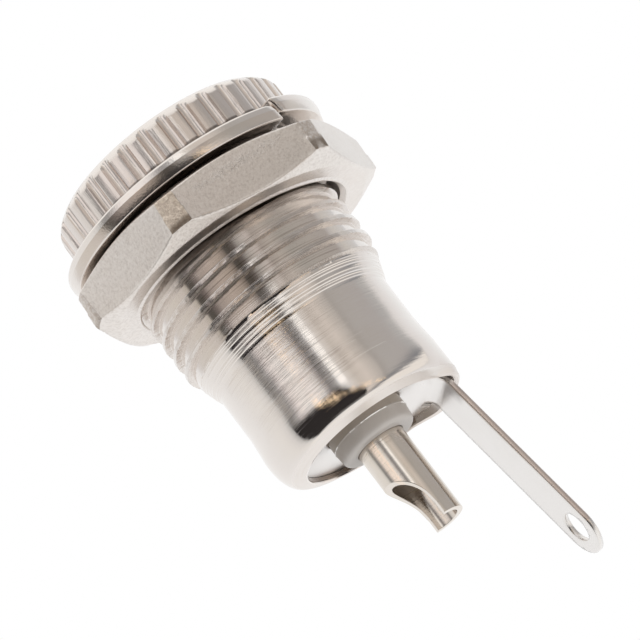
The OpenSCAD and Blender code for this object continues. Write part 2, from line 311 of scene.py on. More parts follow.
tent = studio.layered(
    tent,
    (card_edge, (0.19, 0.20, 0.22)),
    (open_side, (0.93, 0.90, 0.86)),
    (streak, (1.25, 1.23, 1.20)),
    (booth, (0.03, 0.027, 0.027)),
    (gold_ray, (1.6, 1.22, 0.8)),
    (height.above(48, 58), (0.95, 0.94, 0.92)),  # the roof
    (1 - height.above(-50, -30), (1.0, 0.99, 0.97)),  # the floor
)
is_camera = studio.node("ShaderNodeLightPath", output="Is Camera Ray")
room = studio.mix(is_camera.output("Is Glossy Ray"), (0.8, 0.8, 0.8), tent)
room = studio.mix(is_camera, room, (1, 1, 1))
glow = studio.node("ShaderNodeBackground", {}, {"Color": room, "Strength": 1.0})
studio.node("ShaderNodeOutputWorld", {}, {"Surface": glow})
print("studio has", len(world.node_tree.nodes), "nodes")

# %% [markdown]
# ## Floor and lamp
# The floor is a plain pale sheet under the head, on which the jack stands. Camera rays see it pure
# white, as paper under bright light. A wide soft lamp behind the viewer's shoulder gives the
# plastic its form, at a level where colours come out about as written.

# %% Floor and lamp
floor_mesh = bpy.data.meshes.new("floor")
floor_mesh.from_pydata([(-1, -1, 0), (1, -1, 0), (1, 1, 0), (-1, 1, 0)], [], [(0, 1, 2, 3)])
floor = placed("floor", floor_mesh)
floor.location.z = -0.02 * MM
floor.visible_glossy = False
paper = bpy.data.materials.new("paper")
paper.use_nodes = True
sheet = Tree(paper.node_tree)
is_camera = sheet.node("ShaderNodeLightPath", output="Is Camera Ray")
matt = sheet.node("ShaderNodeBsdfDiffuse", {}, {"Color": (0.85, 0.85, 0.85, 1)})
lit = sheet.node("ShaderNodeEmission", {}, {"Color": (1, 1, 1, 1), "Strength": 1.0})
both = sheet.node("ShaderNodeMixShader", {}, {0: is_camera, 1: matt, 2: lit})
sheet.node("ShaderNodeOutputMaterial", {}, {"Surface": both})
floor.data.materials.append(paper)

lamp_data = bpy.data.lights.new("soft_lamp", "AREA")
lamp_data.shape = "DISK"
lamp_data.size = 0.25
lamp_data.energy = 0.35
lamp = placed("soft_lamp", lamp_data)
lamp.location = Vector((0.16, 0.16, 0.22))
lamp.rotation_mode = "QUATERNION"
lamp.rotation_quaternion = (lamp.location - aim).to_track_quat("Z", "Y")
lamp.visible_glossy = False
print("floor and lamp placed")

# %% [markdown]
# ## Card beside the thread
# A curved card stands close to the thread, and only mirror-like rays that leave the thread are low
# enough to meet it. That is why the thread looks browner than the barrel behind it. The card's
# colours change along it, so they are a ramp over the bearing, and the bearings run on past 180.

# %% Card
card_r, card_low, card_high = 20.0, 2.0, 6.7
card_first, card_span = -20, 270
card_turns = np.radians(np.linspace(-8, 232, 61))
card_points = [
    (card_r * math.cos(a) * MM, card_r * math.sin(a) * MM, z * MM)
    for a in card_turns for z in (card_low, card_high)]
card_faces = [(k, k + 2, k + 3, k + 1) for k in range(0, 2 * len(card_turns) - 2, 2)]
card_mesh = bpy.data.meshes.new("thread_card")
card_mesh.from_pydata(card_points, [], card_faces)
card = placed("thread_card", card_mesh)
card.visible_camera = card.visible_diffuse = False
card.visible_shadow = card.visible_transmission = False
printed = bpy.data.materials.new("thread_card")
printed.use_nodes = True
board = Tree(printed.node_tree)
around = board.parts(board.node("ShaderNodeTexCoord", output="Object"))[3]
around = around + (1 - around.above(-100.1, -100)) * 360
shades = board.node("ShaderNodeValToRGB", {"stops": ring(card_first, card_span, [
    (-10, 0.75, 0.77, 0.80),
    (-3, 0.69, 0.69, 0.69),
    (14, 0.64, 0.62, 0.59),
    (20, 0.55, 0.53, 0.52),
    (24, 0.44, 0.41, 0.39),
    (46, 0.44, 0.41, 0.38),
    (68, 0.40, 0.38, 0.35),
    (80, 0.48, 0.44, 0.40),
    (89, 0.40, 0.36, 0.33),
    (94, 0.56, 0.51, 0.48),
    (100, 0.48, 0.45, 0.42),
    (105, 0.33, 0.31, 0.29),
    (108, 0.16, 0.14, 0.13),
    (113, 0.08, 0.07, 0.06),
    (117, 0.10, 0.09, 0.08),
    (120, 0.26, 0.22, 0.19),
    (125, 0.41, 0.35, 0.30),
    (136, 0.49, 0.42, 0.37),
    (150, 0.39, 0.34, 0.31),
    (156, 0.19, 0.16, 0.15),
    (161, 0.10, 0.09, 0.08),
    (166, 0.11, 0.10, 0.09),
    (168.5, 0.52, 0.48, 0.43),
    (176, 0.64, 0.59, 0.55),
    (190, 0.69, 0.65, 0.60),
    (215, 0.73, 0.70, 0.67),
    (222, 0.76, 0.74, 0.73),
    (232, 0.93, 0.94, 0.95),
])}, {0: (around - card_first) / card_span})
card_glow = board.node("ShaderNodeEmission", {}, {"Color": shades, "Strength": 1.0})
board.node("ShaderNodeOutputMaterial", {}, {"Surface": card_glow})
card_mesh.materials.append(printed)
print("card placed at radius", card_r)

# %% [markdown]
# ## Turned outlines
# A lathe cuts a profile: radius against height. An outline is written as its corner points, each
# with the radius of the round that the tool leaves there, and the rounds are worked out as arcs.


# %% Rounded outline
def rounded(points, steps=4):
    """Outline through (radius, height, round) corners, with each corner drawn as an arc."""
    outline = []
    for k, (r, z, fillet) in enumerate(points):
        here = Vector((r, z))
        if fillet == 0 or k in (0, len(points) - 1):
            outline.append(here)
            continue
        before = (Vector(points[k - 1][:2]) - here).normalized()
        after = (Vector(points[k + 1][:2]) - here).normalized()
        half = before.angle(after) / 2
        setback = fillet / math.tan(half)
        centre = here + (before + after).normalized() * (fillet / math.sin(half))
        start = here + before * setback - centre
        turn = start.angle_signed(here + after * setback - centre)
        for step in range(steps + 1):
            arm = start.copy()
            arm.rotate(Matrix.Rotation(-turn * step / steps, 2))
            outline.append(centre + arm)
    return np.array([(p.x, p.y) for p in outline])


def spaced(outline, longest):
    """The same outline with extra points, so that no step is longer than longest."""
    full = [outline[0]]
    for start, end in zip(outline, outline[1:]):
        count = max(1, math.ceil(np.hypot(*(end - start)) / longest))
        full += [start + (end - start) * k / count for k in range(1, count + 1)]
    return np.array(full)


def clamped(share):
    """A share kept between 0 and 1."""
    return min(1.0, max(0.0, share))


print("a rounded corner has", len(rounded([(0, 0, 0), (1, 0, 0.2), (1, 1, 0)])) - 2, "points")

# %% [markdown]
# ## Meshes from rows and columns
# Every round piece is a net: columns go round the axis and rows follow the outline. A net that also
# closes on itself along the rows is a watertight ring. Vertices that fall in one place are named
# once, so the net has no loose seams.


# %% Mesh helpers
def add_piece(name, points, faces, sharp_angle=35):
    """A smooth-shaded object from points in millimetres, with edges past sharp_angle kept sharp."""
    mesh = bpy.data.meshes.new(name)
    mesh.from_pydata([tuple(p * MM) for p in points], [], faces)
    mesh.validate()
    net = bmesh.new()
    net.from_mesh(mesh)
    bmesh.ops.recalc_face_normals(net, faces=net.faces)
    net.to_mesh(mesh)
    net.free()
    mesh.polygons.foreach_set("use_smooth", [True] * len(mesh.polygons))
    mesh.set_sharp_from_angle(angle=math.radians(sharp_angle))
    print(name, "has", len(points), "points and", len(faces), "faces")
    return placed(name, mesh)


def strip_faces(first, second):
    """Faces between two columns of vertex numbers, leaving out what has shrunk to nothing."""
    faces = []
    for a, b, c, d in zip(first, first[1:], second[1:], second):
        ring = tuple(dict.fromkeys((a, d, c, b)))
        if len(ring) >= 3:
            faces.append(ring)
    return faces


def net_faces(net, joined=True):
    """Faces between columns that are closed loops of rows. Joined columns go all the way round."""
    columns, rows = net.shape[:2]
    number = np.arange(columns * rows).reshape(columns, rows)
    number = np.concatenate([number, number[:, :1]], axis=1)
    faces = []
    for k in range(columns if joined else columns - 1):
        faces += strip_faces(number[k], number[(k + 1) % columns])
    return faces


class Points(list):
    """Points in millimetres, each known by the number that it gets when it is added."""

    def add(self, r, z, angle):
        self.append(np.array([r * math.cos(angle), r * math.sin(angle), z]))
        return len(self) - 1


def lathe(outline, angles):
    """Columns of a turned outline at the given angles."""
    r, z = outline.T
    return np.array([np.stack([r * np.cos(a), r * np.sin(a), z], axis=1) for a in angles])


print("mesh helpers ready")

# %% [markdown]
# ## The shell's outline
# The outline starts inside the socket and goes over the front face and the head. Behind the thread
# it goes down the fine steps that the tool left, over the barrel and the rolled rim, and back into
# the rear chamber. The thread itself is drawn apart, because its rows climb round the shell. Where
# the lug comes out, the rim couldn't be rolled in and still stands up, so that part of the outline
# is written twice, rolled and standing.

# %% Shell outline
guide_r, guide_len = 2.85, 1.4
socket_r, flange_z = 3.25, 10.0
chamber_r = boss_high[0] + 0.05
thread_r, root_r = 5.95, 5.60
relief_r, relief_end = 5.3, 3.25
thread_stop = 11.25
barrel_r = 5.18
flare_r, flare_z = 5.31, 16.45
crown_z = lip_top - 0.22
plate_top = lip_top - 0.36
lip_r = 4.0
chamfer_w, chamfer_len, chamfer_rows, bow = 0.62, 0.72, 12, 1.9

head_outline = rounded([
    (socket_r, flange_z, 0),
    (socket_r, guide_len, 0.05),
    (guide_r, guide_len, 0.05),
    (guide_r, 0.3, 0.05),
    (guide_r + 0.3, 0, 0.06),
    (head_r - chamfer_w, 0, 0.08),
    *[(head_r - chamfer_w * (1 - k / chamfer_rows) ** bow, chamfer_len * k / chamfer_rows, 0)
      for k in range(1, chamfer_rows)],
    (head_r, chamfer_len, 0),
    (head_r, 1.4, 0),
    (head_r, head_len, 0.05),
    (relief_r, head_len, 0.05),
    (relief_r, relief_end, 0),
])

# Each tool step at the run-out: how far it drops, and how long its flat is, in hundredths
tool_steps = [(4, 9), (3, 5), (5, 10), (2, 6), (4, 8), (6, 11), (3, 6), (5, 9), (3, 7)]
step_taper, step_wall = 0.004, 0.045
run_out = []
r, z = root_r - 0.03, thread_stop
for drop, flat in tool_steps:
    run_out += [(r, z, 0), (r - step_taper, z + flat / 100, 0)]
    r, z = r - drop / 100 - step_taper, z + flat / 100 + step_wall

rear_outline = spaced(rounded(run_out + [
    (barrel_r, 12.42, 0.2),
    (barrel_r, 15.0, 3.0),
    (flare_r, flare_z, 0),
]), 0.35)


def stepped(points, counts):
    """Points along straight lines, each line cut into its own count of steps, without the first."""
    made = []
    for start, end, count in zip(points, points[1:], counts):
        start, end = np.array(start), np.array(end)
        made += [start + (end - start) * k / count for k in range(1, count + 1)]
    return np.array(made)


roll_r, roll_z = 0.61, 16.6
roll_angles = np.radians(np.linspace(0, 80, 15))
rolled_edge = np.stack([
    flare_r - roll_r + roll_r * np.cos(roll_angles),
    roll_z + (crown_z - roll_z) * np.sin(roll_angles),
], axis=1)
rolled_lip = stepped([
    rolled_edge[-1], (lip_r + 0.13, lip_top - 0.005), (lip_r + 0.03, lip_top - 0.03),
    (lip_r, lip_top - 0.1), (lip_r, plate_top)], [5, 2, 2, 3])
rolled = np.concatenate([rolled_edge, rolled_lip])
standing = np.concatenate([[rolled[0]], stepped([
    rolled[0], (5.34, 18.2), (5.27, 18.58), (5.12, 18.70),
    (4.93, 18.58), (4.80, plate_top)], [14, 5, 2, 2, 3])])
chamber = np.array([(chamber_r, plate_top), (chamber_r, flange_z)])
first_rolled = len(rear_outline)
tail_outline = np.concatenate([rear_outline, rolled, chamber])
print("rolled rows:", len(rolled), "and the same count standing:", len(standing))
print("outline rows:", len(head_outline), "before the thread,", len(tail_outline), "behind it")

# %% [markdown]
# ## The head's grooves and the standing rim
# Thirty-four half-round grooves are cut along the head. Columns are placed at each groove's edges
# and floor, so that the edges stay clean. A second function says how much of the rim still stands
# at each angle.

# %% Grooves and rim
groove_count = 34
groove_r = 0.32
first_groove = math.radians(48.2)
groove_step = 2 * math.pi / groove_count
across_groove = np.array([-1.15, -1.0, -0.86, -0.6, -0.3, 0, 0.3, 0.6, 0.86, 1.0, 1.15])
rib_middle = groove_step * head_r / groove_r * np.array([0.41, 0.5, 0.59])
column_places = np.concatenate([across_groove, rib_middle]) * groove_r / head_r
column_angles = np.sort(np.concatenate([
    (first_groove + k * groove_step + column_places) % (2 * math.pi)
    for k in range(groove_count)]))


def groove_depth(angle):
    """How far the head's surface lies below head_r at this angle."""
    off = (angle - first_groove + groove_step / 2) % groove_step - groove_step / 2
    share = abs(off) * head_r / groove_r
    wall = max(0.0, 1 - share ** 2) ** 0.6
    edge_wear = 0.025 * max(0.0, 1 - max(0.0, share - 1) / 0.35)
    return groove_r * wall + edge_wear * min(1.0, share) ** 4


def standing_share(angle):
    """1 where the rim still stands up beside the lug, 0 where it is rolled in."""
    degrees = math.degrees((angle + math.pi) % (2 * math.pi) - math.pi)
    bearings = [-70, -55, -45, -35, -27, -20, 18, 28, 39, 52, 75, 95]
    shares = [0, 0.08, 0.25, 0.55, 0.85, 1, 1, 0.7, 0.38, 0.16, 0.06, 0]
    share = float(np.interp(degrees, bearings, shares))
    return share * share * (3 - 2 * share)


print("groove depth in the middle", round(groove_depth(first_groove), 3), "mm")

# %% [markdown]
# ## The thread
# A screw thread is one groove wound round the shell, so its rows slide along the axis as the
# columns turn. After one full turn each row arrives where the next turn's row began, and the net
# closes with a step of one pitch. Rows past either end of the thread are held at that end.

# %% Thread rows
pitch = 1.0
crest_height_at_zero = 8.94
crest_r = thread_r - 0.02
turn_shape = np.array([
    (0.00, 0.0), (0.14, 0.0), (0.28, 0.0), (0.31, 0.90), (0.33, 0.98),
    (0.36, 1.0), (0.46, 1.0), (0.58, 1.0), (0.615, 0.0), (0.70, 0.0), (0.84, 0.0),
])
torn_edge = 0.58
per_turn = len(turn_shape)
first_turn, last_turn = -7, 3
cut_in_z, cut_in_len = 3.35, 0.4
fade_out_z, fade_out_len = 11.15, 0.75


def thread_rows(angle):
    """Radius and height of every thread row in the column at this angle."""
    wound = angle / (2 * math.pi)
    rows = []
    for turn in range(first_turn, last_turn + 1):
        for place, rise in turn_shape:
            z = crest_height_at_zero + pitch * (turn - 0.5 + place + wound)
            depth = clamped((fade_out_z - z) / fade_out_len) ** 0.8
            depth *= clamped((z - cut_in_z) / cut_in_len)
            spot = Vector((math.cos(angle) * 3.0, math.sin(angle) * 3.0, z * 1.2))
            burr = noise.noise(spot * 2.2) * 0.018 + noise.noise(spot * 6.0) * 0.012
            burr *= rise ** 4
            if place == torn_edge:
                z += noise.noise(spot * 9.0) * 0.04
                burr += max(0.0, noise.noise(spot * 8.0)) * 0.04
            r = root_r + ((crest_r - root_r) * rise + burr) * depth
            rows.append((min(r, thread_r), min(max(z, relief_end), thread_stop)))
    return rows


print("rows in a thread column:", len(thread_rows(0)))


# %% Shell mesh
def shell_column(points, angle):
    """Numbers of the points in one column: in front of the thread, on it, and behind it."""
    limit = head_r - groove_depth(angle)
    front = [
        points.add(min(r, limit) if z <= head_len + 0.01 else r, z, angle)
        for r, z in head_outline]
    front.append(points.add(root_r - 0.1, relief_end, angle))
    rear = tail_outline.copy()
    rear[first_rolled:-2] = rolled + (standing - rolled) * standing_share(angle)
    rear[-2, 0] = max(chamber_r, rear[-3, 0])
    tail = [points.add(r, z, angle) for r, z in rear]
    middle = []
    for r, z in thread_rows(angle):
        if z <= relief_end + 1e-6:
            middle.append(front[-1])
        elif z >= thread_stop - 1e-6:
            middle.append(tail[0])
        else:
            middle.append(points.add(r, z, angle))
    return front, middle, tail


def build_shell():
    points = Points()
    columns = [shell_column(points, angle) for angle in column_angles]
    faces = []
    for k, (front, middle, tail) in enumerate(columns):
        next_front, next_middle, next_tail = columns[(k + 1) % len(columns)]
        if k == len(columns) - 1:
            next_middle = next_middle[per_turn:] + [next_tail[0]] * per_turn
        faces += strip_faces(
            front + middle + tail + front[:1],
            next_front + next_middle + next_tail + next_front[:1])
    return points, faces


shell = add_piece("turned_shell", *build_shell(), sharp_angle=28)
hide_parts("shell")
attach(shell, "root")

# %% [markdown]
# ## Split lock washer
# A spring washer is wound from wire with a nearly square section, so its edges are soft. It lies
# on the head and springs up towards one end of the split. The section is swept round the axis, and
# near both ends it draws in a little, as a sheared and tumbled end does.

# %% Lock washer
washer_in_r, washer_out_r = 6.06, washer_high[0] - 0.01
washer_t, washer_lift = 0.95, 0.39
split_turn, split_gap, split_slant = 59.0, 1.0, 3.7
soft = 0.16
section = rounded([
    (washer_in_r + 0.8, 0, 0),
    (washer_out_r, 0, soft),
    (washer_out_r, washer_t * 0.42, 0.2),
    (washer_out_r - 0.15, washer_t, 0.11),
    (washer_in_r, washer_t, soft),
    (washer_in_r, 0, soft),
    (washer_in_r + 0.8, 0, 0),
], steps=5)[:-1]
section_middle = section.mean(axis=0)
end_round = [(0.0, 0.14), (0.25, 0.08), (0.6, 0.03), (1.2, 0.0)]


def washer_column(angle, share, draw_in):
    """The washer's section at an angle, share of the way from its low end to its high end."""
    shrunk = section_middle + (section - section_middle) * (1 - draw_in / 0.5)
    turn = np.radians(angle - split_slant * (shrunk[:, 1] - washer_t / 2))
    z = head_len + 0.005 + washer_lift * share ** 2.4 + shrunk[:, 1]
    return np.stack([shrunk[:, 0] * np.cos(turn), shrunk[:, 0] * np.sin(turn), z], axis=1)


sweep = 360 - split_gap
places = [(off / sweep, draw) for off, draw in end_round]
places += [(k / 180, 0.0) for k in range(2, 179)]
places += [(1 - off / sweep, draw) for off, draw in reversed(end_round)]
first_turned = split_turn - split_gap / 2
washer_net = np.array([
    washer_column(first_turned - share * sweep, share, draw) for share, draw in places])
rows, last = len(section), len(places) - 1
washer_faces = [tuple(range(rows)), tuple(range(last * rows, (last + 1) * rows))]
washer_faces += net_faces(washer_net, joined=False)
washer = add_piece("split_washer", washer_net.reshape(-1, 3), washer_faces)
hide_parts("lock_washer")
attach(washer, "root")

# %% [markdown]
# ## Hex nut
# A nut is a hexagon cut by a turned profile: at every angle its surface lies at the smaller of the
# two radii. Taking the smaller one softly gives the slightly rounded edges of a tumbled nut, and a
# low ridge is left where the rear chamfer was cut into the flats. Columns crowd near the corners,
# where the turned facets meet the flats. The nut is loose on its thread and the washer's sprung end
# lifts one side, so at last it is tipped and hangs off centre by as much as its thread allows.


# %% Hex nut
def soft_min(a, b, blend):
    """The smaller of two lengths, with the edge between them rounded over blend."""
    near = np.clip(0.5 + (b - a) / (2 * blend), 0, 1)
    return b * (1 - near) + a * near - blend * near * (1 - near)


nut_flat_r, nut_corner_r = 7.575, 8.5
nut_turn = 1.0
nut_bore_r = thread_r + 0.05
countersink_r = 6.24
nut_face = nut_rear - 0.08
nut_outline = spaced(rounded([
    (nut_bore_r, nut_front + 1.2, 0),
    (nut_bore_r, nut_front + 0.3, 0.05),
    (countersink_r, nut_front, 0.05),
    (7.1, nut_front, 0.15),
    (nut_corner_r, nut_front + 0.6, 0.12),
    (nut_corner_r, nut_face - 0.55, 0.12),
    (7.45, nut_face, 0.25),
    (6.47, nut_face, 0.05),
    (6.32, nut_rear, 0.04),
    (countersink_r, nut_rear, 0.03),
    (nut_bore_r, nut_rear - 0.25, 0.05),
    (nut_bore_r, nut_rear - 1.2, 0),
]), 0.09)

nut_middle = Vector((0, 0, (nut_front + nut_rear) / 2))
edge_blend, ridge_h, ridge_w = 0.10, 0.045, 0.09
facet_edge = math.degrees(math.acos(nut_flat_r / nut_corner_r))
near_facet = facet_edge + np.array([-2.2, -1.4, -0.9, -0.5, -0.2, 0.1, 0.5, 0.9, 1.4, 2.2])
offs = sorted(set(np.round(np.concatenate([np.linspace(-30, 28, 25), near_facet, -near_facet]), 3)))
nut_r, nut_z = nut_outline.T
nut_columns = []
for flat_middle in range(30, 390, 60):
    for off in offs:
        angle = math.radians(flat_middle + nut_turn + off)
        flat_r = nut_flat_r / math.cos(math.radians(off))
        ridge = ridge_h * np.exp(-((nut_r - flat_r) / ridge_w) ** 2) * (nut_z > nut_middle.z)
        r = soft_min(nut_r, flat_r, edge_blend) + ridge
        nut_columns.append(np.stack([r * math.cos(angle), r * math.sin(angle), nut_z], axis=1))

nut_axis = Vector((-0.0414, -0.0187, 1)).normalized()
nut_shift = Vector((0.25, 0.09, 0))
tipped = Vector((0, 0, 1)).rotation_difference(nut_axis).to_matrix()
nut_net = np.array(nut_columns) - np.array(nut_middle)
nut_net = nut_net @ np.array(tipped).T + np.array(nut_middle + nut_shift)
nut = add_piece("hexagon_nut", nut_net.reshape(-1, 3), net_faces(nut_net), sharp_angle=60)
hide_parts("hex_nut")
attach(nut, "root")

# %% [markdown]
# ## Ground lug
# The lug is stamped from sheet and then bent, so it is drawn the same way: first flat, as an
# outline with two holes, filled with triangles, then given its thickness, and last bent by moving
# every point round the bend. Its round plate is dished a little towards the boss, and the stamped
# edges are slightly rounded.

# %% Lug, flat
lug_t, lug_w, lug_lean = 0.3, 3.15, 8.05
plate_r = chamber_r - 0.1
slit = 0.25
bend_start, bend_r = 3.61, 0.65
bend_angle = math.radians(90 - lug_lean)
neutral_r = bend_r + lug_t / 2
tab_start = bend_start + neutral_r * bend_angle
hole_along, hole_r, tip_past_hole = 9.74, 0.85, 1.65
hole_u = tab_start + hole_along
boss_hole_r = 2.22
dish, dish_r, dish_slope = 0.42, 4.1, 1.8
half_w = lug_w / 2
tip_u = hole_u + tip_past_hole - half_w
edge, edge_step, grid = 0.04, 0.3, 0.28


def arc(centre_u, radius, start, end, count):
    """Points on an arc in the flat sheet, without its last one, angles in degrees."""
    turn = np.radians(np.linspace(start, end, count))[:-1]
    return [(centre_u + radius * math.cos(a), radius * math.sin(a)) for a in turn]


def run(u0, v0, u1, v1):
    """Points on a straight edge, without its last one."""
    count = max(1, round(math.hypot(u1 - u0, v1 - v0) / edge_step))
    return [(u0 + (u1 - u0) * k / count, v0 + (v1 - v0) * k / count) for k in range(count)]


mouth = math.degrees(math.asin((half_w + slit) / plate_r))
mouth_u = plate_r * math.cos(math.radians(mouth))
outer_edge = (
    run(bend_start, -half_w, tip_u, -half_w)
    + arc(tip_u, half_w, -90, 90, 33)
    + run(tip_u, half_w, bend_start, half_w)
    + run(bend_start, half_w, bend_start, half_w + slit)
    + run(bend_start, half_w + slit, mouth_u, half_w + slit)
    + arc(0, plate_r, mouth, 360 - mouth, 90)
    + run(mouth_u, -half_w - slit, bend_start, -half_w - slit)
    + run(bend_start, -half_w - slit, bend_start, -half_w)
)
wire_hole = arc(hole_u, hole_r, 360, 0, 49)
boss_hole = arc(0, boss_hole_r, 360, 0, 65)


def inside_sheet(u, v, margin=0.0):
    """True where the flat lug has metal, at least margin from its edges."""
    from_axis = math.hypot(u, v)
    if from_axis < boss_hole_r + margin or math.hypot(u - hole_u, v) < hole_r + margin:
        return False
    in_tab = bend_start - 1 < u < tip_u and abs(v) < half_w - margin
    in_tip = math.hypot(u - tip_u, v) < half_w - margin
    in_mouth = u > bend_start - margin and abs(v) < half_w + slit + margin
    return in_tab or in_tip or (from_axis < plate_r - margin and not in_mouth)


loops = [outer_edge, wire_hole, boss_hole]
flat_points = [Vector(point) for loop in loops for point in loop]
flat_edges, loop_numbers, first = [], [], 0
for loop in loops:
    numbers = list(range(first, first + len(loop)))
    loop_numbers.append(numbers)
    flat_edges += list(zip(numbers, numbers[1:] + numbers[:1]))
    first += len(loop)
for u in np.arange(-plate_r, tip_u + half_w, grid):
    for v in np.arange(-plate_r, plate_r, grid):
        if inside_sheet(u, v, grid / 2):
            flat_points.append(Vector((u, v)))
filled = geometry.delaunay_2d_cdt(flat_points, flat_edges, [], 0, 1e-7)
sheet_points = [tuple(point) for point in filled[0]]
sheet_faces = [
    tuple(triangle) for triangle in filled[2]
    if inside_sheet(*np.mean([sheet_points[k] for k in triangle], axis=0))]
print("flat lug:", len(sheet_points), "points,", len(sheet_faces), "triangles")


# %% Lug, bent
def bent(u, v, w):
    """Where a point of the flat sheet goes: w is 0 on the outside of the bend and lug_t inside."""
    base = plate_top - lug_t
    if u <= bend_start:
        dip = clamped((dish_r - math.hypot(u, v)) / dish_slope) * clamped((bend_start - u) / 0.8)
        return np.array([u, v, base - dish * dip + w])
    turned = min((u - bend_start) / neutral_r, bend_angle)
    along = max(0.0, u - tab_start)
    arm = bend_r + lug_t - w
    x = bend_start + arm * math.sin(turned) + along * math.cos(turned)
    z = plate_top + bend_r - arm * math.cos(turned) + along * math.sin(turned)
    return np.array([x, v, z])


def inset_loops():
    """For every point on an edge of the sheet, the direction into the metal."""
    inward = {}
    for numbers in loop_numbers:
        round_again = numbers[-1:] + numbers + numbers[:1]
        for before, number, after in zip(round_again, numbers, round_again[2:]):
            along = (flat_points[after] - flat_points[before]).normalized()
            inward[number] = Vector((-along.y, along.x))
    return inward


inward = inset_loops()
lug_points = []
for w, inset in ((0.0, edge), (edge, 0.0), (lug_t - edge, 0.0), (lug_t, edge)):
    for k, (u, v) in enumerate(sheet_points):
        shift = inward.get(k, Vector((0, 0))) * inset
        lug_points.append(bent(u + shift.x, v + shift.y, w))
size = len(sheet_points)
lug_faces = [face[::-1] for face in sheet_faces]
lug_faces += [tuple(k + 3 * size for k in face) for face in sheet_faces]
for numbers in loop_numbers:
    for a, b in zip(numbers, numbers[1:] + numbers[:1]):
        for layer in range(3):
            low, high = layer * size, (layer + 1) * size
            lug_faces.append((a + low, b + low, b + high, a + high))

# Points that no face uses are left out
used = sorted({k for face in lug_faces for k in face})
renumber = {k: place for place, k in enumerate(used)}
lug_points = [lug_points[k] for k in used]
lug_faces = [tuple(renumber[k] for k in face) for face in lug_faces]
lug = add_piece("stamped_lug", lug_points, lug_faces, sharp_angle=50)
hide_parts("ground_lug")
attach(lug, "root")

# %% [markdown]
# ## Rear insulator
# The insulator is moulded plastic. What shows is its boss, with a thin flash where the two halves
# of the mould met. The flash stands proud unevenly, so its height changes round the boss.

# %% Insulator
boss_r = 2.2
parting_z = plate_top + 0.17
insulator_r, nose_r = chamber_r - 0.05, socket_r - 0.05
pin_r, cup_r, collar_r = 1.05, 1.35, 1.75
shoulder_z, collar_z, collar_len = 11.0, 12.2, 1.6
play = 0.02
nose_z = boss_low[2]
sheet_z = plate_top - lug_t - dish
insulator_outline = spaced(rounded([
    (pin_r + play, nose_z, 0),
    (nose_r, nose_z, 0.1),
    (nose_r, flange_z, 0),
    (insulator_r, flange_z, 0.1),
    (insulator_r, sheet_z, 0.05),
    (boss_r - 0.01, sheet_z, 0),
    (boss_r, parting_z - 0.03, 0),
    (boss_r, parting_z, 0),
    (boss_r, parting_z + 0.03, 0),
    (boss_r - 0.08, boss_top, 0.25),
    (cup_r + play, boss_top, 0.06),
    (cup_r + play, collar_z + collar_len + play, 0),
    (collar_r + play, collar_z + collar_len + play, 0),
    (collar_r + play, collar_z - play, 0),
    (cup_r + play, collar_z - play, 0),
    (cup_r + play, shoulder_z - play, 0),
    (pin_r + play, shoulder_z - play, 0),
], steps=6), 0.5)
boss_angles = np.radians(np.arange(0, 360, 2.5))
insulator_net = lathe(insulator_outline, boss_angles)
for column, angle in zip(insulator_net, boss_angles):
    proud = 0.03 + 0.03 * noise.noise(Vector((math.cos(angle), math.sin(angle), 0)) * 4)
    for point in column:
        if abs(point[2] - parting_z) < 0.01 and math.hypot(point[0], point[1]) > 2:
            point[:2] *= 1 + proud / boss_r
insulator = add_piece(
    "moulded_insulator", insulator_net.reshape(-1, 3), net_faces(insulator_net), sharp_angle=30)
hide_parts("rear_insulator")
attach(insulator, "root")

# %% [markdown]
# ## Centre pin and solder cup
# One turned pin runs through the insulator. In the socket it is the plug's centre contact, and at
# the rear it is drilled out and half its wall is milled away, so that a wire can be laid in and
# soldered. Every column of the cup ends where the cutter left it, and a bevel softens the cut.

# %% Centre pin
cup_bore_r = 1.0
bore_end = cup_end - 4.3
half_drill_angle = math.radians(59)
drill_point = cup_bore_r / math.tan(half_drill_angle)
scoop_r, scoop_len = 2.6, 3.03
scoop_z = cup_end - scoop_len + math.sqrt(scoop_r ** 2 - (scoop_r - cup_r) ** 2)
steady_z = 20.4
pin_outline = spaced(rounded([
    (0, pin_low[2], 0),
    (0.5, pin_low[2], 0.2),
    (pin_r, pin_low[2] + 0.5, 0.3),
    (pin_r, shoulder_z, 0.03),
    (cup_r, shoulder_z, 0.05),
    (cup_r, collar_z, 0.03),
    (collar_r, collar_z, 0.05),
    (collar_r, collar_z + collar_len, 0.05),
    (cup_r, collar_z + collar_len, 0.03),
    (cup_r, steady_z, 0),
]), 0.6)
bore_outline = np.array([
    (cup_bore_r, steady_z),
    (cup_bore_r, bore_end),
    (cup_bore_r / 2, bore_end - drill_point / 2),
    (0, bore_end - drill_point),
])


def cut_height(x):
    """Height at which the milling cutter left the wall that stands at x."""
    return scoop_z - math.sqrt(max(0.0, scoop_r ** 2 - (scoop_r + min(x, 0.0)) ** 2))


def pin_column(points, angle, tip, bottom, low_rows=10, high_rows=8):
    """One column: the turned outside, the bore, both walls of the cup, and whether it is cut."""
    cut = math.cos(angle) < -1e-6
    outside = [tip] + [points.add(r, z, angle) for r, z in pin_outline[1:]]
    bore = [points.add(r, z, angle) for r, z in bore_outline[:-1]] + [bottom]
    walls = []
    for r in (cup_r, cup_bore_r):
        top = cut_height(r * math.cos(angle)) if cut else scoop_z
        low = [steady_z + (top - steady_z) * k / low_rows for k in range(1, low_rows + 1)]
        high = [scoop_z + (cup_end - scoop_z) * k / high_rows for k in range(1, high_rows + 1)]
        walls.append((
            [points.add(r, z, angle) for z in low],
            [] if cut else [points.add(r, z, angle) for z in high]))
    return outside, bore, walls, cut


def pin_loop(column, low_only):
    """The numbers of a column in order, up the outside and back down the bore."""
    outside, bore, walls, _ = column
    outer, inner = (low if low_only else low + high for low, high in walls)
    return outside + outer + inner[::-1] + bore


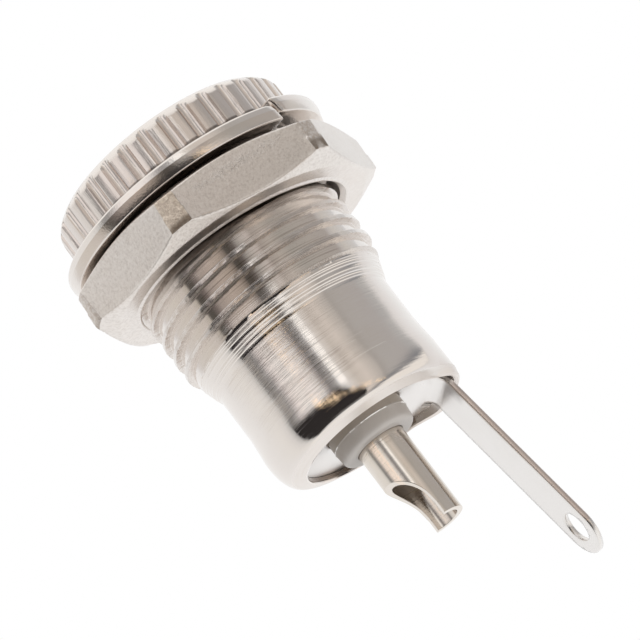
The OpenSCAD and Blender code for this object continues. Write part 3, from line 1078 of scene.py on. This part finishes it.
def build_pin(count=96):
    points = Points()
    tip, bottom = points.add(0, pin_low[2], 0), points.add(0, bore_end - drill_point, 0)
    columns = [pin_column(points, 2 * math.pi * k / count, tip, bottom) for k in range(count)]
    faces = []
    for here, there in zip(columns, columns[1:] + columns[:1]):
        here_cut, there_cut = here[3], there[3]
        low_only = here_cut or there_cut
        faces += strip_faces(pin_loop(here, low_only), pin_loop(there, low_only))
        if here_cut != there_cut:  # the end face of the wall that still stands
            outer, inner = (low[-1:] + high for low, high in (there if here_cut else here)[2])
            faces += strip_faces(outer, inner)
    return points, faces


pin = add_piece("turned_pin", *build_pin(), sharp_angle=40)
soften = pin.modifiers.new("soften", "BEVEL")
soften.width = 0.06 * MM
soften.segments = 3
soften.limit_method = "ANGLE"
soften.angle_limit = math.radians(45)
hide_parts("centre_pin")
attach(pin, "root")

# %% [markdown]
# ## Metal finishes
# All the metal is one recipe: a nickel or tin colour, a roughness that drifts a little, and a bump
# made of noises. Noise that is stretched round the axis gives turning lines, stretched along the
# axis gives rolling lines, and left even gives the grain of plated steel. Some colour layers are
# painted shade, painted shadow and painted reflection, each marked where it stands. Apart from
# those, what differs between the pieces is only the amounts.


# %% Finishes
class Finish(Tree):
    """A surface material with the coordinates that its noises need, in millimetres."""

    def __init__(self, name):
        self.material = bpy.data.materials.new(name)
        self.material.use_nodes = True
        super().__init__(self.material.node_tree)
        where = self.node("ShaderNodeTexCoord", output="Object")
        self.place = self.node(
            "ShaderNodeVectorMath", {"operation": "SCALE"}, {0: where, "Scale": 1 / MM})
        self.x, self.y, self.z, self.angle = self.parts(self.place)
        self.radius = (self.x * self.x + self.y * self.y).math("SQRT")

    def grain(self, across, along, detail=3.0, roughness=0.55):
        """Noise with across waves per millimetre round the axis and along waves on it."""
        inputs = {0: self.place, 1: (across, across, along)}
        stretched = self.node("ShaderNodeVectorMath", {"operation": "MULTIPLY"}, inputs)
        inputs = {"Vector": stretched, "Scale": 1.0, "Detail": detail, "Roughness": roughness}
        return self.node("ShaderNodeTexNoise", {}, inputs)

    def dress(self, piece, colour, roughness, height, depth, metallic=1.0):
        """Gives a piece this finish, with height as a bump of the given depth in millimetres."""
        inputs = {"Height": height, "Distance": depth * MM, "Strength": 1.0}
        bump = self.node("ShaderNodeBump", {}, inputs)
        shader = self.node("ShaderNodeBsdfPrincipled", {}, {
            "Base Color": rgba(colour),
            "Roughness": roughness,
            "Metallic": metallic,
            "IOR": 1.5,
            "Normal": bump,
        })
        self.node("ShaderNodeOutputMaterial", {}, {"Surface": shader})
        piece.data.materials.clear()
        piece.data.materials.append(self.material)
        print(self.material.name, "on", piece.name)


NICKEL = (0.84, 0.79, 0.75)
print("finishes ready")

# %% Shell finish
metal = Finish("nickel_shell")
turning = metal.grain(0.12, 14, detail=3.0, roughness=0.7)
rib_lines = metal.grain(9, 0.5, detail=4.0)
cloud = metal.grain(0.7, 0.7)
fine = metal.grain(14, 14)

# Where things are, from the head to the lip
thread_low, thread_high = 3.0, 11.2
on_head = 1 - metal.z.above(head_len - 0.05, head_len + 0.05)
on_side = metal.z.above(0.4, 0.6) * on_head
# Painted shadow along the head's rear edge, where the ribs meet the washer
shadow_at_washer = metal.z.above(head_len - 0.2, head_len - 0.08) * on_head
# Painted shadow of the nut over the first turns of the thread, on the camera's side
shadow_under_nut = (1 - metal.z.above(6.9, 7.3)) * metal.angle.between(62, 152, 30) * (1 - on_head)
# Painted shade on the thread's crests and flanks, strongest on the side between bearings 66 and 146
painted_shade_side = 0.45 + 0.55 * metal.angle.between(66, 146, 8)
on_crest = metal.radius.above(5.84, 5.90) * (1 - on_head) * painted_shade_side
on_flank = metal.radius.between(5.62, 5.90, 0.01) * painted_shade_side
on_flank = on_flank * metal.z.between(thread_low, thread_high, 0.05)
in_valley = (1 - metal.radius.above(5.66, 5.80)) * metal.z.between(thread_low, thread_high, 0.2)
# Turning lines are real tool marks, but their darker colour is kept mostly to the side towards the
# camera, so it is partly painted shade
on_thread = metal.z.between(6.5, 11.3, 0.1) * (0.15 + 0.85 * metal.angle.between(62, 143, 3))
on_barrel = metal.z.between(12.3, 17.0, 0.2) * metal.angle.between(96, 148, 4)
on_roll = metal.z.above(16.4, 16.8)
on_lip = metal.z.above(18.05, 18.2) * metal.radius.above(4.08, 4.14)
# Painted shade on the inner wall of the lip
shade_in_lip = metal.radius.between(3.95, 4.3, 0.02) * metal.z.between(17.9, lip_top - 0.1, 0.04)

tint = metal.layered(
    NICKEL,
    (cloud.above(0.35, 0.75) * 0.08, (0.80, 0.72, 0.66)),
    (in_valley * fine.above(0.5, 0.8) * 0.2, (0.34, 0.27, 0.21)),
    # painted shade on the thread crests
    (on_crest * 0.4, (0.50, 0.47, 0.45)),
    (on_side * (0.08 + 0.55 * rib_lines), (0.62, 0.55, 0.51)),
    # painted shade on the thread flanks
    (on_flank * fine.above(0.45, 0.6) * 0.5, (0.45, 0.38, 0.33)),
    # painted shade inside the lip
    (shade_in_lip * 0.8, (0.24, 0.18, 0.14)),
    # painted shadow under the nut
    (shadow_under_nut * 0.85, (0.13, 0.10, 0.08)),
    # painted shadow where the ribs meet the washer
    (shadow_at_washer * (0.5 + 0.5 * rib_lines), (0.10, 0.08, 0.07)),
    # turning lines: real marks, darkened as painted shade on one side
    ((on_thread + on_barrel * 0.4) * turning.above(0.53, 0.64) * 0.5, (0.42, 0.36, 0.32)),
)
inputs = {0: on_head, 2: turning * 0.9 + fine * 0.1, 3: rib_lines}
lines = metal.node("ShaderNodeMix", {"data_type": "FLOAT"}, inputs)
lines = lines * (1 - in_valley * 0.8) * (1 - on_roll * 0.5)
roughness = (
    (0.05 + 0.05 * cloud) * (1 - on_roll * 0.6) + 0.10 * on_head + 0.55 * on_flank
    + 0.3 * on_lip + 0.12 * turning.above(0.52, 0.6) * on_roll)
metal.dress(shell, tint, roughness, lines, 0.013)

# %% Washer and nut finishes
metal = Finish("nickel_washer")
cloud = metal.grain(0.8, 0.8)
tint = metal.mix(cloud.above(0.4, 0.8) * 0.12, NICKEL, (0.78, 0.70, 0.62))
metal.dress(washer, tint, 0.10 + 0.1 * cloud, metal.grain(9, 9), 0.006)

metal = Finish("nickel_nut")
cloud = metal.grain(0.6, 0.6)
grain = metal.grain(10, 10, detail=4.0)
scuffs = metal.grain(8, 8, detail=2.0)
speckle = metal.grain(6, 6, detail=4.0, roughness=0.7)
clean_side = metal.x.above(4.5, 6.5) * 0.75
nut_x, nut_y = 0.3, 0.08
corner = ((metal.x - nut_x) ** 2 + (metal.y - nut_y) ** 2).math("SQRT").above(8.445, 8.475)
row = metal.y.above(7.0, 7.3) * metal.x.between(-2.7, 2.6, 0.5) * metal.z.between(4.8, 5.1, 0.25)
marks = row * cloud.above(0.3, 0.6) * scuffs.above(0.5, 0.6)
tint = metal.layered(
    NICKEL,
    (cloud.above(0.4, 0.8) * 0.15, (0.80, 0.72, 0.65)),
    (speckle.above(0.45, 0.7) * (1 - clean_side) * 0.42, (0.52, 0.47, 0.43)),
    ((1 - speckle.above(0.3, 0.5)) * 0.35, (0.97, 0.94, 0.91)),
    (marks * 0.5, (0.60, 0.53, 0.47)),
    (corner * 0.5, (0.72, 0.69, 0.67)),
    # painted reflection: warm gold on the corner facets of one side
    (corner * metal.angle.between(80, 150, 5), (0.92, 0.82, 0.71)),
    (corner * speckle.above(0.38, 0.6) * 0.6, (0.56, 0.47, 0.39)),
    # painted shade at the rear ends of the corner facets
    (corner * metal.z.above(5.75, 6.05) * 0.75, (0.20, 0.15, 0.11)),
)
pitting = grain * (0.8 + 1.2 * corner) + speckle * (0.6 + 1.4 * corner) + marks * 1.5
metal.dress(nut, tint, 0.27 + 0.1 * cloud + 0.15 * corner, pitting, 0.02)

# %% Lug, pin and spring finishes
metal = Finish("tinned_lug")
cloud = metal.grain(0.5, 0.5)
grit = metal.grain(9, 9)
on_edge = metal.y.math("ABSOLUTE").above(half_w - 0.06, half_w - 0.02) * metal.z.above(18.6, 19.0)
# Painted shadow at the fold where the tab leaves the rim, broken up by noise
fold_shadow = metal.z.between(19.0, 19.7, 0.3) * metal.y.between(0.7, 1.6, 0.2) * cloud.above(0.2, 0.6)
tint = metal.layered(
    (0.88, 0.855, 0.835),
    (cloud.above(0.4, 0.8) * 0.2, (0.80, 0.77, 0.74)),
    (on_edge * (0.5 + 0.4 * grit), (0.62, 0.50, 0.44)),
    # painted shadow at the fold
    (fold_shadow * 0.6, (0.30, 0.28, 0.27)),
)
metal.dress(lug, tint, 0.24 + 0.12 * cloud, metal.grain(6, 0.4), 0.005)

metal = Finish("tinned_pin")
cloud = metal.grain(0.9, 0.6)
# A painted warm reflection along one side of the pin
warm_reflection = metal.angle.between(122, 138, 4) * (1 - metal.z.above(21.5, 23.0))
inside = 1 - metal.radius.above(1.02, 1.08)
deep_inside = inside * (1 - metal.z.above(21.0, 22.6))
tint = metal.layered(
    (0.82, 0.77, 0.72),
    (0.3 + 0.4 * cloud.above(0.4, 0.8), (0.76, 0.68, 0.59)),
    # painted warm reflection
    (warm_reflection * 0.5, (0.97, 0.80, 0.64)),
    (inside * 0.6, (0.70, 0.64, 0.58)),
)
roughness = 0.10 + 0.08 * cloud + 0.3 * deep_inside
metal.dress(pin, tint, roughness, metal.grain(0.3, 20), 0.006)

metal = Finish("spring_bronze")
rolling = metal.grain(8, 0.5)
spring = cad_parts["contact_spring"]
metal.dress(spring, (0.84, 0.74, 0.58), 0.25 + 0.1 * rolling, rolling, 0.004)

# %% [markdown]
# ## Plastic
# The insulator is a pale grey, slightly glossy plastic with a fine moulded grain. Its top is
# painted lighter, and the band under the flash is painted shadow.

# %% Insulator finish
plastic = Finish("grey_plastic")
cloud = plastic.grain(1.2, 1.2)
at_parting = plastic.z.between(parting_z - 0.03, parting_z + 0.05, 0.02)
flash = at_parting * plastic.radius.above(2.19, 2.21)
# Painted shadow on the band below the flash
shadow_below_flash = 1 - plastic.z.above(parting_z - 0.08, parting_z - 0.02)
shade = plastic.layered(
    (0.41, 0.37, 0.335),
    (cloud.above(0.3, 0.8) * 0.4, (0.36, 0.32, 0.28)),
    # painted light: the boss is lighter towards its top
    (plastic.z.above(boss_top - 0.4, boss_top) * 0.6, (0.51, 0.48, 0.455)),
    # painted shadow below the flash
    (shadow_below_flash * 0.8, (0.30, 0.25, 0.20)),
    (flash * cloud.above(0.48, 0.56), (0.95, 0.93, 0.90)),
)
roughness = 0.35 + 0.1 * cloud
plastic.dress(insulator, shade, roughness, plastic.grain(12, 12), 0.006, metallic=0.0)
print("materials:", len(bpy.data.materials))
